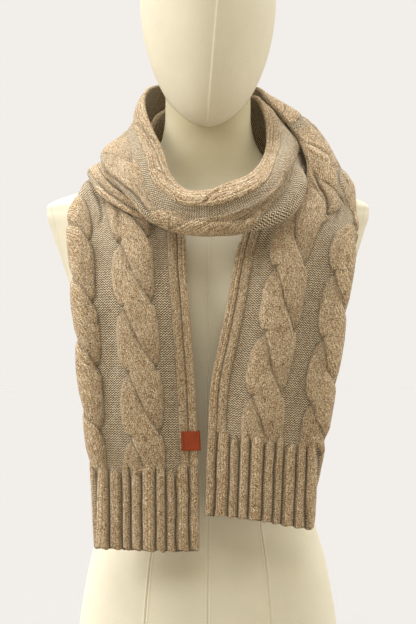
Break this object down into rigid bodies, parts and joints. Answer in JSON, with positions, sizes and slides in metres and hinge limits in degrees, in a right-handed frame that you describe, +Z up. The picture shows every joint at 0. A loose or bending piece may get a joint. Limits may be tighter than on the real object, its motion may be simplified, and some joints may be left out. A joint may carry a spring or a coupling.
{
  "type": "knit scarf on a dress form",
  "caption": "Long cable-knit scarf with ribbed hems and a leather tab, wound once round the neck of a limbless dress form with an egg head, tails hanging in front.",
  "frame": {"origin": "middle of the dress form's flat base, on the surface it stands on", "axes": "+Z up the form; -Y to the front, where the tails hang; +X to the viewer's right"},
  "size_m": [0.386, 0.294, 0.92],
  "materials": {
    "heather_wool": "chunky cable knit in oatmeal and brown heather wool",
    "cream_linen": "smooth cream linen over the form",
    "rust_leather": "bare rust-brown leather"
  },
  "bodies": {
    "root": {"left_hem_rib": "heather_wool", "left_tail": "heather_wool", "inner_wrap": "heather_wool", "front_band": "heather_wool", "band_edge": "heather_wool", "outer_wrap": "heather_wool", "right_tail": "heather_wool", "right_hem_rib": "heather_wool", "leather_tab": "rust_leather", "form_torso": "cream_linen", "form_head": "cream_linen", "arm_plate_left": "cream_linen", "arm_plate_right": "cream_linen"}
  },
  "joints": []
}
